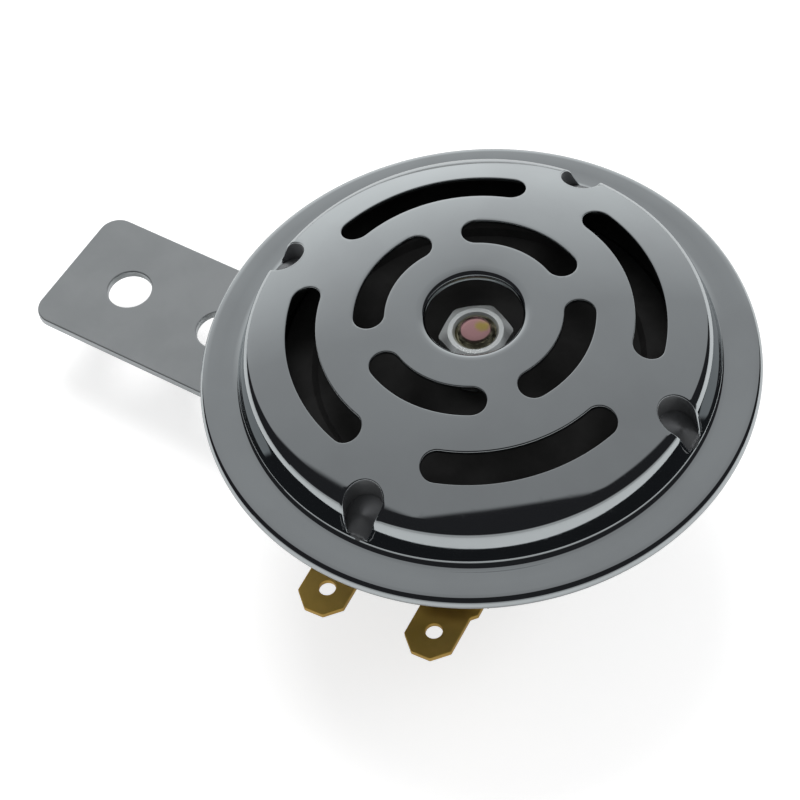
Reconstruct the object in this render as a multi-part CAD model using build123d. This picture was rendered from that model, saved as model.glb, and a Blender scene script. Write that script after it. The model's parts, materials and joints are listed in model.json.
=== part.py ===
from build123d import *
import os
from math import asin, atan, cos, degrees, radians, sin, sqrt, tan

# Small disc horn for a vehicle, lying with its grille upwards, on its flat steel mounting bracket.
# Every piece is built round the horn's own axis, with z = 0 on the rear face of the bracket and the
# bracket running out along +X.  The last step moves the lot so that the outer bracket hole is the origin.

# ---- driving dimensions, in millimetres and degrees -------------------------------------------------

# bracket
bracket_sheet = 1.2
bracket_width = 19.5
bracket_corner = 2.8
bracket_hole_radius = 3.0
outer_hole_gap = 22.3          # edge of the rim to the middle of the outer hole
bracket_hole_pitch = 14.6
bracket_end_margin = 9.8       # outer hole to the end of the strip

# front cover
cover_sheet = 0.5
rim_radius = 34.0
dome_height = 9.4              # middle of the face above the cover's flange
dome_drop = 4.22               # middle of the face down to where the shoulder bend starts
dome_round = 0.8               # share of the drop that follows a parabola, the rest a fourth power
dome_steps = 6                 # spans of the curve drawn through points of the dome
shoulder_inset = 6.98          # edge of the rim to where the shoulder bend starts
shoulder_bend = 2.2
wall_lean = 14.5               # lean of the cover's side wall from upright
foot_bend = 1.1
rim_lap = 2.4                  # width of the rim folded under the housing flange

# sound openings in the cover
grille_turn = 1.6              # turn of the whole pattern from the bracket's direction
slot_width = 3.7
inner_slot_radius = 12.5
inner_slot_half_angle = 27.4
outer_slot_inset = 6.22        # start of the shoulder bend to the middle of the outer slots
outer_slot_half_angle = 28.2
slot_count = 4
centre_hole_radius = 5.8
centre_hole_bend = 0.9
centre_lip_depth = 1.9

# four pressed pockets in the cover's shoulder
pocket_count = 4
pocket_inset = 0.32            # start of the shoulder bend to the middle of a pocket
pocket_radius = 2.35
pocket_depth = 7.2             # middle of the pocket's sloping floor, below the middle of the face
pocket_tilt = 27.0             # slope of the floor, down and outwards
pocket_cone = 0.8              # blunt cone that the floor rises to in its middle

# diaphragm and gasket
diaphragm_sheet = 0.25
bead_inset = 5.5               # side of the barrel to the middle of the bead
diaphragm_bead_width = 5.0
diaphragm_bead_height = 0.7
gasket_sheet = 0.2
gasket_setback = 1.7           # side of the barrel to the gasket's inner edge

# rear housing
housing_sheet = 0.7
housing_depth = 19.05          # rear face of the cup to the front face of the flange
housing_bend = 1.2
barrel_inset = 6.5             # edge of the rim to the side of the barrel
shelf_width = 11.0             # side of the cup to the side of the barrel
shelf_height = 6.9             # rear face of the cup to the rear face of the shelf

# magnet
core_radius = 6.2
core_height = 14.1
core_neck_radius = 4.0
air_gap = 0.7
armature_radius = 14.0
armature_plate = 2.5
armature_boss_radius = 4.5
bobbin_wall = 0.8
bobbin_clearance = 0.8         # edge of the bobbin's flange to the button on the moving arm
bobbin_height = 12.6
winding_inset = 0.4            # the wire stops this far short of the bobbin's flange edge

# threads and fasteners
front_thread_radius = 2.5
front_nut_flats = 7.2
front_nut_height = 4.0
front_nut_turn = 5.0
front_washer_radius = 4.5
front_washer_sheet = 1.0
front_lock_radius = 3.9
front_lock_sheet = 1.3
stud_dome = 0.45
rear_thread_radius = 3.0
rear_nut_flats = 10.0
rear_nut_height = 5.0
rear_nut_turn = 12.0
rear_washer_radius = 6.0
rear_washer_sheet = 1.0
rear_lock_radius = 5.2
rear_lock_sheet = 1.6
rear_thread_spare = 1.6        # thread that shows past the rear nut
thread_chamfer = 0.6
lock_washer_slit = 0.8
nut_face_share = 0.95          # chamfered nut's round face, as a share of its flats
nut_chamfer_angle = 30.0
rivet_taper = 0.75             # flat of a rivet's head, as a share of the head

# terminals
terminal_angle = 94.2          # direction of the terminals from the bracket
terminal_spacing = 14.5
tab_width = 6.3
tab_sheet = 0.8
tab_tip_inset = 1.7            # edge of the rim to the tip of a tab
tab_chamfer = 1.9
tab_hole_radius = 0.85
tab_hole_margin = 3.6
tab_base_width = 7.7
tab_base_inset = 2.9           # side of the barrel to the end of the tab's wider base
tab_root_margin = 2.6          # the tab's inner end to its rivet
terminal_board_sheet = 1.6
terminal_board_inset = 4.1     # side of the barrel to the outer edge of both boards
terminal_board_depth = 5.4
terminal_board_width = 23.8
inner_board_sheet = 1.2
inner_board_width = 21.6
terminal_rivet_inset = 6.5     # side of the barrel to the rivets
terminal_rivet_radius = 1.6
terminal_rivet_head_radius = 2.6
terminal_rivet_head = 0.7
board_boss_radius = 2.5

# contact breaker, opposite the terminals
breaker_inset = 6.7            # side of the barrel to the middle of the stack
breaker_width = 4.8
breaker_board = 1.4
fixed_arm_sheet = 0.6
breaker_spacer = 2.2
moving_arm_sheet = 0.35
breaker_clamp_sheet = 0.8
stack_start = -8.8
stack_end = -2.4
stack_margin = 0.4             # the boards stand this far out past the arms' sides
arm_tail = 1.2                 # the arms stand this far out past the boards, where the leads are fixed
arm_end = 5.2
contact_place = 2.4
contact_radius = 1.5
finger_width = 5.0
finger_overlap = 1.5           # the finger's end under the armature
button_overlap = 0.7
button_radius = 0.7
button_gap = 0.3
breaker_rivet_places = (-7.3, -4.0)
breaker_rivet_radius = 0.8
breaker_rivet_head_radius = 1.5
breaker_rivet_head = 0.7
sleeve_wall = 0.4

# adjusting screw
bush_radius = 2.4
bush_flange_radius = 3.2
bush_flange = 0.7
bush_tail = 1.5
adjuster_radius = 1.5
adjuster_tail = 2.7            # how far the screw stands out behind the shelf
adjuster_slot_width = 0.6
adjuster_slot_depth = 0.9
adjuster_cap_height = 0.6
adjuster_cap_radius = 1.1

# leads
lead_radius = 0.45
lead_bend = 1.6
lead_rise = 1.8                # step up from the lug to the coil
lug_sheet = 0.4
lug_radius = 2.4

# clearances
running_clearance = 0.1        # between parts that slip over each other
thread_clearance = 0.05

# ---- levels and radii that follow -------------------------------------------------------------------

outer_hole_reach = rim_radius + outer_hole_gap
shoulder_radius = rim_radius - shoulder_inset
outer_slot_radius = shoulder_radius - outer_slot_inset
pocket_reach = shoulder_radius - pocket_inset
barrel_radius = rim_radius - barrel_inset
cup_radius = barrel_radius - shelf_width
diaphragm_bead_radius = barrel_radius - bead_inset
gasket_inner_radius = barrel_radius + gasket_setback

seat_z = bracket_sheet
floor_z = seat_z + housing_sheet
shelf_rear_z = seat_z + shelf_height
shelf_z = shelf_rear_z + housing_sheet
housing_flange_z = seat_z + housing_depth
gasket_top_z = housing_flange_z + gasket_sheet
diaphragm_top_z = gasket_top_z + diaphragm_sheet
cover_flange_z = diaphragm_top_z + cover_sheet
face_z = cover_flange_z + dome_height
clamped_thickness = diaphragm_top_z - (housing_flange_z - housing_sheet)
rim_bend = clamped_thickness / 2 + cover_sheet
rim_middle_z = cover_flange_z - rim_bend
clamped_radius = rim_radius - rim_bend
core_top_z = floor_z + core_height
armature_face_z = core_top_z + air_gap
button_reach = armature_radius - button_overlap
bobbin_flange_radius = button_reach - button_radius - bobbin_clearance

front_washer_bottom = diaphragm_top_z
front_lock_bottom = front_washer_bottom + front_washer_sheet
front_nut_bottom = front_lock_bottom + front_lock_sheet
front_bore = front_thread_radius + running_clearance
rear_washer_bottom = -rear_washer_sheet
rear_lock_bottom = rear_washer_bottom - rear_lock_sheet
rear_nut_bottom = rear_lock_bottom - rear_nut_height
rear_bore = rear_thread_radius + running_clearance

terminal_rivet_reach = barrel_radius - terminal_rivet_inset
terminal_board_outer = barrel_radius - terminal_board_inset
terminal_board_inner = terminal_board_outer - terminal_board_depth
tab_reach = rim_radius - tab_tip_inset
tab_base_reach = barrel_radius - tab_base_inset
tab_root_reach = terminal_rivet_reach - tab_root_margin
board_rear_z = shelf_rear_z - terminal_board_sheet
tab_rear_z = board_rear_z - tab_sheet
inner_board_z = shelf_z + inner_board_sheet
lug_top_z = inner_board_z + lug_sheet
shank_hole = terminal_rivet_radius + thread_clearance
lug_reach = sqrt(terminal_rivet_reach**2 + (terminal_spacing / 2) ** 2)
lug_turn = degrees(atan(terminal_spacing / 2 / terminal_rivet_reach))

breaker_angle = terminal_angle + 180
breaker_reach = barrel_radius - breaker_inset
finger_reach = armature_radius - finger_overlap
fixed_arm_z = shelf_z + breaker_board
spacer_z = fixed_arm_z + fixed_arm_sheet
moving_arm_z = spacer_z + breaker_spacer
clamp_z = moving_arm_z + moving_arm_sheet
clamp_top_z = clamp_z + breaker_clamp_sheet
contact_height = breaker_spacer / 2
arm_in = breaker_reach - breaker_width / 2
arm_out = breaker_reach + breaker_width / 2
arm_start = stack_start - arm_tail
rivet_hole = breaker_rivet_radius + sleeve_wall + running_clearance


# ---- helpers ----------------------------------------------------------------------------------------

def turned(*outline):
    """Solid of revolution from a closed outline of (radius, height) points."""
    return revolve(Plane.XZ * make_face(Polyline(*outline, close=True)), Axis.Z)


def ring(inner_radius, outer_radius, bottom, height):
    """Plain round disc, with a hole unless inner_radius is 0."""
    disc = Pos(0, 0, bottom) * extrude(Circle(outer_radius), height)
    if inner_radius > 0:
        disc -= Pos(0, 0, bottom) * extrude(Circle(inner_radius), height)
    return disc


def block(x_start, x_end, y_start, y_end, bottom, height):
    """Flat rectangular piece between two corners."""
    corner = Pos((x_start + x_end) / 2, (y_start + y_end) / 2, bottom)
    return corner * extrude(Rectangle(x_end - x_start, y_end - y_start), height)


def round_bar(x, y, radius, bottom, top):
    """Upright round bar between two levels."""
    return Pos(x, y, bottom) * extrude(Circle(radius), top - bottom)


def quarter_turns(count, start):
    """Angles of an evenly spaced pattern."""
    return [start + 360 / count * step for step in range(count)]


def rotated(angle, piece):
    """A piece drawn along +X, turned about the horn's axis."""
    return Rot(0, 0, angle) * piece


def hex_nut(flats, height, bore_radius, bottom, turn):
    """Plain hexagon nut, both faces chamfered."""
    corner_radius = flats / sqrt(3)
    washer_face = flats / 2 * nut_face_share
    chamfer = (corner_radius - washer_face) * tan(radians(nut_chamfer_angle))
    prism = rotated(turn, Pos(0, 0, bottom) * extrude(RegularPolygon(corner_radius, 6), height))
    top = bottom + height
    envelope = turned(
        (0, bottom), (washer_face, bottom), (corner_radius, bottom + chamfer),
        (corner_radius, top - chamfer), (washer_face, top), (0, top),
    )
    return (prism & envelope) - round_bar(0, 0, bore_radius, bottom, top)


def lock_washer(bore_radius, outer_radius, bottom, height):
    """Spring washer with its slit, pressed flat."""
    washer = ring(bore_radius, outer_radius, bottom, height)
    return washer - block(0, outer_radius, 0, lock_washer_slit, bottom, height)


def rivet(x, y, radius, head_radius, head, bottom, top):
    """Rivet with a tapered head beyond each end of its grip."""
    flat = head_radius * rivet_taper
    return Pos(x, y, 0) * turned(
        (0, bottom - head), (flat, bottom - head), (head_radius, bottom), (radius, bottom),
        (radius, top), (head_radius, top), (flat, top + head), (0, top + head),
    )


# ---- front cover ------------------------------------------------------------------------------------

dome_start = centre_hole_radius + centre_hole_bend


def dome_fall(radius):
    """Fall of the dome below the middle of the face, and its slope, at a radius."""
    span = shoulder_radius - dome_start
    u = (radius - dome_start) / span
    fall = dome_drop * (dome_round * u**2 + (1 - dome_round) * u**4)
    slope = dome_drop / span * (2 * dome_round * u + 4 * (1 - dome_round) * u**3)
    return fall, slope


def dome_point(radius, inset):
    """Point on the dome, moved square to the surface by inset."""
    fall, slope = dome_fall(radius)
    steep = sqrt(1 + slope**2)
    return radius - inset * slope / steep, face_z - fall - inset / steep


shoulder_fall, shoulder_slope = dome_fall(shoulder_radius)
shoulder_angle = degrees(atan(shoulder_slope))
shoulder_centre = dome_point(shoulder_radius, shoulder_bend)
wall_top = (
    shoulder_centre[0] + shoulder_bend * cos(radians(wall_lean)),
    shoulder_centre[1] + shoulder_bend * sin(radians(wall_lean)),
)
foot_centre_z = cover_flange_z + foot_bend
wall_foot_z = foot_centre_z - foot_bend * sin(radians(wall_lean))
wall_foot_x = wall_top[0] + (wall_top[1] - wall_foot_z) * tan(radians(wall_lean))
foot_centre = (wall_foot_x + foot_bend * cos(radians(wall_lean)), foot_centre_z)
lip_end_z = face_z - centre_lip_depth


def cover_skin(inset):
    """Edges of the cover's surface from the lip of the centre hole to the foot of the wall.

    inset 0 is the outside of the sheet, inset cover_sheet its inside.
    """
    lip_radius = centre_hole_radius + inset
    lip_centre = (dome_start, face_z - centre_hole_bend)
    lip = Line((lip_radius, lip_end_z), (lip_radius, lip_centre[1]))
    hole_bend = CenterArc(lip_centre, centre_hole_bend - inset, 180, -90)
    step_length = (shoulder_radius - dome_start) / dome_steps
    radii = [dome_start + step_length * step for step in range(dome_steps + 1)]
    dome = Spline(
        [dome_point(radius, inset) for radius in radii],
        tangents=[(1, 0), (1, -shoulder_slope)],
    )
    shoulder_turn = 90 - shoulder_angle - wall_lean
    shoulder = CenterArc(shoulder_centre, shoulder_bend - inset, 90 - shoulder_angle, -shoulder_turn)
    foot = CenterArc(foot_centre, foot_bend + inset, 180 + wall_lean, 90 - wall_lean)
    wall = Line(shoulder @ 1, foot @ 0)
    return [lip, hole_bend, dome, shoulder, wall, foot]


def cover_rim(inset):
    """Edges of the flange and of the rim folded round the housing flange."""
    edge_radius = rim_bend - inset
    top_z = cover_flange_z - inset
    under_z = rim_middle_z - edge_radius
    flange = Line((foot_centre[0], top_z), (clamped_radius, top_z))
    fold = CenterArc((clamped_radius, rim_middle_z), edge_radius, 90, -180)
    lap = Line((clamped_radius, under_z), (clamped_radius - rim_lap, under_z))
    return [flange, fold, lap]


def cover_fill():
    """Solid that fills the space under the cover's outside, for trimming the pockets."""
    skin = cover_skin(0)[2:]
    start = skin[0] @ 0
    end = skin[-1] @ 1
    bottom_z = cover_flange_z - cover_sheet
    closing = Polyline(end, (end.X, bottom_z), (0, bottom_z), (0, start.Y), start)
    return revolve(Plane.XZ * make_face([*skin, *closing.edges()]), Axis.Z)


def pocket_space(grow):
    """Space inside a pressed pocket, its skin moved out by grow; the floor is a tilted blunt cone."""
    floor_middle = face_z - pocket_depth
    shaft = round_bar(pocket_reach, 0, pocket_radius + grow, floor_middle - pocket_depth, face_z)
    reach = 2 * pocket_radius
    foot = -pocket_cone - grow
    floor = turned((0, pocket_cone - grow), (reach, foot), (reach, dome_height), (0, dome_height))
    return shaft & (Pos(pocket_reach, 0, floor_middle) * Rot(0, pocket_tilt, 0) * floor)


def curved_slot(radius, half_angle):
    """Upright cutter for one curved slot centred on +X."""
    arc = CenterArc((0, 0), radius, -half_angle, 2 * half_angle)
    return Pos(0, 0, lip_end_z - dome_drop) * extrude(SlotArc(arc, slot_width), dome_height)


def front_grille():
    outside = [*cover_skin(0), *cover_rim(0)]
    inside = [*cover_skin(cover_sheet), *cover_rim(cover_sheet)]
    ends = [Line(outside[0] @ 0, inside[0] @ 0), Line(outside[-1] @ 1, inside[-1] @ 1)]
    cover = revolve(Plane.XZ * make_face([*outside, *inside, *ends]), Axis.Z)
    filled = cover_fill()
    for angle in quarter_turns(pocket_count, grille_turn):
        hollow = rotated(angle, pocket_space(0))
        lining = rotated(angle, pocket_space(cover_sheet)) & filled
        cover = cover + lining - hollow
    half_step = 180 / slot_count
    for angle in quarter_turns(slot_count, grille_turn):
        cover -= rotated(angle, curved_slot(inner_slot_radius, inner_slot_half_angle))
        cover -= rotated(angle + half_step, curved_slot(outer_slot_radius, outer_slot_half_angle))
    return cover


# ---- diaphragm, gasket and housing ------------------------------------------------------------------

def diaphragm():
    """Spring steel disc with one raised ring bead."""
    bead_in = diaphragm_bead_radius - diaphragm_bead_width / 2
    bead_out = diaphragm_bead_radius + diaphragm_bead_width / 2
    top_in = bead_in + diaphragm_bead_height
    top_out = bead_out - diaphragm_bead_height
    hole = front_thread_radius + running_clearance
    bottom_z = gasket_top_z
    line = [
        (hole, bottom_z), (bead_in, bottom_z), (top_in, bottom_z + diaphragm_bead_height),
        (top_out, bottom_z + diaphragm_bead_height), (bead_out, bottom_z), (clamped_radius, bottom_z),
    ]
    top = [(radius, height + diaphragm_sheet) for radius, height in reversed(line)]
    return turned(*line, *top)


def gasket_ring():
    return ring(gasket_inner_radius, clamped_radius, housing_flange_z, gasket_sheet)


def housing_skin(inset):
    """Rear (inset 0) or inner (inset housing_sheet) side of the housing's sheet."""
    tight = housing_bend + inset
    wide = housing_bend + housing_sheet - inset
    return FilletPolyline(
        (core_neck_radius + running_clearance, seat_z + inset),
        (cup_radius - inset, seat_z + inset),
        (cup_radius - inset, shelf_rear_z + inset),
        (barrel_radius - inset, shelf_rear_z + inset),
        (barrel_radius - inset, housing_flange_z - housing_sheet + inset),
        (clamped_radius, housing_flange_z - housing_sheet + inset),
        radius=[wide, tight, wide, tight],
    )


def rear_housing():
    rear = housing_skin(0)
    inner = housing_skin(housing_sheet)
    ends = [Line(rear @ 0, inner @ 0), Line(rear @ 1, inner @ 1)]
    housing = revolve(Plane.XZ * make_face([*rear.edges(), *inner.edges(), *ends]), Axis.Z)
    for side in (-1, 1):
        place = side * terminal_spacing / 2
        hole_radius = board_boss_radius + running_clearance
        hole = round_bar(terminal_rivet_reach, place, hole_radius, shelf_rear_z, shelf_z)
        housing -= rotated(terminal_angle, hole)
    for place in breaker_rivet_places:
        hole = round_bar(breaker_reach, place, rivet_hole, shelf_rear_z, shelf_z)
        housing -= rotated(breaker_angle, hole)
    bush_hole = round_bar(breaker_reach, contact_place, bush_radius, shelf_rear_z, shelf_z)
    return housing - rotated(breaker_angle, bush_hole)


# ---- magnet -----------------------------------------------------------------------------------------

def armature():
    """Soft iron plate with a boss under the diaphragm and the threaded stud that the front nut is on."""
    plate_top = armature_face_z + armature_plate
    nut_top = front_nut_bottom + front_nut_height
    body = turned(
        (0, armature_face_z), (armature_radius, armature_face_z), (armature_radius, plate_top),
        (armature_boss_radius, plate_top), (armature_boss_radius, gasket_top_z),
        (front_thread_radius, gasket_top_z), (front_thread_radius, nut_top), (0, nut_top),
    )
    cap_line = ThreePointArc(
        (-front_thread_radius, nut_top), (0, nut_top + stud_dome), (front_thread_radius, nut_top)
    )
    half = Line((0, nut_top + stud_dome), (0, nut_top))
    base = Line((0, nut_top), (front_thread_radius, nut_top))
    cap = revolve(Plane.XZ * make_face([cap_line.trim(0.5, 1), half, base]), Axis.Z)
    return body + cap


def pole_core():
    """Magnet core, its neck through the housing floor, and the threaded stud behind."""
    stud_end = rear_nut_bottom - rear_thread_spare
    return turned(
        (0, stud_end), (rear_thread_radius - thread_chamfer, stud_end),
        (rear_thread_radius, stud_end + thread_chamfer), (rear_thread_radius, seat_z),
        (core_neck_radius, seat_z), (core_neck_radius, floor_z), (core_radius, floor_z),
        (core_radius, core_top_z), (0, core_top_z),
    )


def coil_bobbin():
    bore = core_radius + running_clearance
    top = floor_z + bobbin_height
    return turned(
        (bore, floor_z), (bobbin_flange_radius, floor_z), (bobbin_flange_radius, floor_z + bobbin_wall),
        (bore + bobbin_wall, floor_z + bobbin_wall), (bore + bobbin_wall, top - bobbin_wall),
        (bobbin_flange_radius, top - bobbin_wall), (bobbin_flange_radius, top), (bore, top),
    )


def coil_winding():
    inner = core_radius + running_clearance + bobbin_wall
    outer = bobbin_flange_radius - winding_inset
    return ring(inner, outer, floor_z + bobbin_wall, bobbin_height - 2 * bobbin_wall)


# ---- bracket and its fasteners ----------------------------------------------------------------------

def bracket():
    """Flat strip: square end with small corners, round end behind the horn, three holes on its line."""
    half = bracket_width / 2
    end = outer_hole_reach + bracket_end_margin
    strip = Pos(end / 2, 0) * Rectangle(end, bracket_width)
    strip = fillet(strip.vertices().group_by(Axis.X)[-1], bracket_corner)
    outline = strip + Circle(half)
    plate = extrude(outline, bracket_sheet)
    for reach in (outer_hole_reach, outer_hole_reach - bracket_hole_pitch):
        plate -= round_bar(reach, 0, bracket_hole_radius, 0, bracket_sheet)
    return plate - round_bar(0, 0, rear_bore, 0, bracket_sheet)


# ---- terminals --------------------------------------------------------------------------------------

def terminal(side):
    """Blade terminal: a tab with a chamfered tip and a hole, on a wider base."""
    half = tab_width / 2
    base = tab_base_width / 2
    upper = [
        (tab_root_reach, base), (tab_base_reach, base), (tab_base_reach + base - half, half),
        (tab_reach - tab_chamfer, half), (tab_reach, half - tab_chamfer),
    ]
    lower = [(x, -y) for x, y in reversed(upper)]
    blade = Pos(0, 0, tab_rear_z) * extrude(make_face(Polyline(*upper, *lower, close=True)), tab_sheet)
    blade -= round_bar(tab_reach - tab_hole_margin, 0, tab_hole_radius, tab_rear_z, board_rear_z)
    blade -= round_bar(terminal_rivet_reach, 0, shank_hole, tab_rear_z, board_rear_z)
    return rotated(terminal_angle, Pos(0, side * terminal_spacing / 2, 0) * blade)


def terminal_board():
    """Insulating board behind the shelf, which the terminals lie on."""
    half = terminal_board_width / 2
    board = block(terminal_board_inner, terminal_board_outer, -half, half, board_rear_z, terminal_board_sheet)
    for side in (-1, 1):
        place = side * terminal_spacing / 2
        board -= round_bar(terminal_rivet_reach, place, shank_hole, board_rear_z, shelf_rear_z)
    return rotated(terminal_angle, board)


def inner_board():
    """Insulating board inside the shelf, with a boss through each of the housing's holes."""
    half = inner_board_width / 2
    board = block(terminal_board_inner, terminal_board_outer, -half, half, shelf_z, inner_board_sheet)
    for side in (-1, 1):
        place = side * terminal_spacing / 2
        board += round_bar(terminal_rivet_reach, place, board_boss_radius, shelf_rear_z, shelf_z)
        board -= round_bar(terminal_rivet_reach, place, shank_hole, shelf_rear_z, inner_board_z)
    return rotated(terminal_angle, board)


def terminal_rivets():
    """Two rivets, each through a tab, both boards and a ring lug."""
    rivets = []
    for side in (-1, 1):
        shank = rivet(
            terminal_rivet_reach, side * terminal_spacing / 2, terminal_rivet_radius,
            terminal_rivet_head_radius, terminal_rivet_head, tab_rear_z, lug_top_z,
        )
        rivets.append(rotated(terminal_angle, shank))
    return Compound(children=rivets)


def terminal_lugs():
    """Ring lugs on the inner ends of the terminal rivets, where the leads are fixed."""
    lugs = []
    for side in (-1, 1):
        lug = ring(shank_hole, lug_radius, inner_board_z, lug_sheet)
        place = Pos(terminal_rivet_reach, side * terminal_spacing / 2, 0)
        lugs.append(rotated(terminal_angle, place * lug))
    return Compound(children=lugs)


# ---- contact breaker --------------------------------------------------------------------------------

def drilled(piece, radius, bottom, height):
    """A stack piece with its two rivet holes."""
    for place in breaker_rivet_places:
        piece -= round_bar(breaker_reach, place, radius, bottom, bottom + height)
    return piece


def stack_plate(bottom, height, margin, hole_radius):
    """One rectangular plate of the riveted stack."""
    plate = block(arm_in - margin, arm_out + margin, stack_start, stack_end, bottom, height)
    return rotated(breaker_angle, drilled(plate, hole_radius, bottom, height))


def fixed_contact_arm():
    arm = block(arm_in, arm_out, arm_start, arm_end, fixed_arm_z, fixed_arm_sheet)
    return rotated(breaker_angle, drilled(arm, rivet_hole, fixed_arm_z, fixed_arm_sheet))


def moving_contact_arm():
    """Spring arm with a finger that reaches in under the armature."""
    arm = block(arm_in, arm_out, arm_start, arm_end, moving_arm_z, moving_arm_sheet)
    finger_start = contact_place - finger_width / 2
    finger = block(
        finger_reach, arm_in, finger_start, finger_start + finger_width, moving_arm_z, moving_arm_sheet
    )
    return rotated(breaker_angle, drilled(arm + finger, rivet_hole, moving_arm_z, moving_arm_sheet))


def contact(bottom):
    return rotated(
        breaker_angle,
        round_bar(breaker_reach, contact_place, contact_radius, bottom, bottom + contact_height),
    )


def arm_button():
    """Insulating button that the armature presses on."""
    top = armature_face_z - button_gap
    return rotated(breaker_angle, round_bar(button_reach, contact_place, button_radius, clamp_z, top))


def breaker_sleeves():
    """Insulating sleeves round the breaker rivets."""
    sleeves = []
    for place in breaker_rivet_places:
        sleeve = ring(
            breaker_rivet_radius + thread_clearance, breaker_rivet_radius + sleeve_wall,
            shelf_z, clamp_z - shelf_z,
        )
        sleeves.append(rotated(breaker_angle, Pos(breaker_reach, place, 0) * sleeve))
    return Compound(children=sleeves)


def breaker_rivets():
    rivets = []
    for place in breaker_rivet_places:
        shank = rivet(
            breaker_reach, place, breaker_rivet_radius,
            breaker_rivet_head_radius, breaker_rivet_head, shelf_rear_z, clamp_top_z,
        )
        rivets.append(rotated(breaker_angle, shank))
    return Compound(children=rivets)


def adjusting_bush():
    """Threaded bush pressed into the shelf."""
    bore = adjuster_radius + thread_clearance
    bush = turned(
        (bore, shelf_rear_z - bush_tail), (bush_radius, shelf_rear_z - bush_tail),
        (bush_radius, shelf_z), (bush_flange_radius, shelf_z),
        (bush_flange_radius, shelf_z + bush_flange), (bore, shelf_z + bush_flange),
    )
    return rotated(breaker_angle, Pos(breaker_reach, contact_place, 0) * bush)


def adjusting_screw():
    """Slotted screw that sets the fixed contact."""
    rear = shelf_rear_z - adjuster_tail
    tip = fixed_arm_z - adjuster_cap_height
    screw = round_bar(0, 0, adjuster_radius, rear, tip)
    half = adjuster_slot_width / 2
    screw -= block(-adjuster_radius, adjuster_radius, -half, half, rear, adjuster_slot_depth)
    return rotated(breaker_angle, Pos(breaker_reach, contact_place, 0) * screw)


def adjuster_cap():
    """Insulating tip of the screw, touching the fixed arm."""
    tip = fixed_arm_z - adjuster_cap_height
    return rotated(
        breaker_angle, round_bar(breaker_reach, contact_place, adjuster_cap_radius, tip, fixed_arm_z)
    )


# ---- leads ------------------------------------------------------------------------------------------

def wire(path):
    """Round wire along a path."""
    return sweep((path ^ 0) * Circle(lead_radius), path=path)


def coil_lead():
    """Lead from the left terminal's lug, stepping up to the coil."""
    start = lug_reach - lug_radius
    end = bobbin_flange_radius - winding_inset
    low = inner_board_z + lead_radius
    step_length = (start - end) / 3
    path = FilletPolyline(
        (start, 0, low), (start - step_length, 0, low),
        (end + step_length, 0, low + lead_rise), (end, 0, low + lead_rise),
        radius=lead_bend,
    )
    return rotated(terminal_angle - lug_turn, wire(path))


def arm_lead():
    """Lead from the coil to the tail of the moving arm."""
    middle_y = arm_start + arm_tail / 2
    height = moving_arm_z + moving_arm_sheet / 2
    turn = degrees(atan(middle_y / arm_in))
    end = arm_in / cos(radians(turn)) - lead_radius * abs(tan(radians(turn)))
    path = Line((bobbin_flange_radius - winding_inset, 0, height), (end, 0, height))
    return rotated(breaker_angle + turn, wire(path))


def ring_lead():
    """Lead from the right terminal's lug round inside the housing to the tail of the fixed arm."""
    lug_half_angle = degrees(lug_radius / lug_reach)
    arm_half_angle = degrees(asin((lead_radius / 2 - arm_start) / lug_reach))
    start = terminal_angle + lug_turn + lug_half_angle
    end = breaker_angle - arm_half_angle
    height = fixed_arm_z + fixed_arm_sheet / 2
    return wire(Pos(0, 0, height) * CenterArc((0, 0), lug_reach, start, end - start))


# ---- all the pieces ---------------------------------------------------------------------------------

pieces = {
    "front_grille": front_grille(),
    "diaphragm": diaphragm(),
    "gasket_ring": gasket_ring(),
    "rear_housing": rear_housing(),
    "armature": armature(),
    "front_washer": ring(front_bore, front_washer_radius, front_washer_bottom, front_washer_sheet),
    "front_lock_washer": lock_washer(front_bore, front_lock_radius, front_lock_bottom, front_lock_sheet),
    "front_nut": hex_nut(
        front_nut_flats, front_nut_height, front_thread_radius + thread_clearance,
        front_nut_bottom, front_nut_turn,
    ),
    "pole_core": pole_core(),
    "coil_bobbin": coil_bobbin(),
    "coil_winding": coil_winding(),
    "bracket": bracket(),
    "rear_washer": ring(rear_bore, rear_washer_radius, rear_washer_bottom, rear_washer_sheet),
    "rear_lock_washer": lock_washer(rear_bore, rear_lock_radius, rear_lock_bottom, rear_lock_sheet),
    "rear_nut": hex_nut(
        rear_nut_flats, rear_nut_height, rear_thread_radius + thread_clearance,
        rear_nut_bottom, rear_nut_turn,
    ),
    "terminal_board": terminal_board(),
    "inner_board": inner_board(),
    "terminal_left": terminal(-1),
    "terminal_right": terminal(1),
    "terminal_rivets": terminal_rivets(),
    "terminal_lugs": terminal_lugs(),
    "breaker_board": stack_plate(shelf_z, breaker_board, stack_margin, rivet_hole),
    "fixed_contact_arm": fixed_contact_arm(),
    "breaker_spacer": stack_plate(spacer_z, breaker_spacer, stack_margin, rivet_hole),
    "moving_contact_arm": moving_contact_arm(),
    "breaker_clamp": stack_plate(clamp_z, breaker_clamp_sheet, 0, breaker_rivet_radius + thread_clearance),
    "fixed_contact": contact(spacer_z),
    "moving_contact": contact(spacer_z + contact_height),
    "arm_button": arm_button(),
    "breaker_sleeves": breaker_sleeves(),
    "breaker_rivets": breaker_rivets(),
    "adjusting_bush": adjusting_bush(),
    "adjusting_screw": adjusting_screw(),
    "adjuster_cap": adjuster_cap(),
    "coil_lead": coil_lead(),
    "arm_lead": arm_lead(),
    "ring_lead": ring_lead(),
}

# the outer bracket hole becomes the origin; the horn then lies on the -X side of it
os.makedirs("parts", exist_ok=True)
to_outer_hole = Pos(-outer_hole_reach, 0, 0)
for name, piece in pieces.items():
    export_step(to_outer_hole * piece, f"parts/{name}.step")
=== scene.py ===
import json
import math

import bmesh
import bpy
from mathutils import Matrix, Vector


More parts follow.
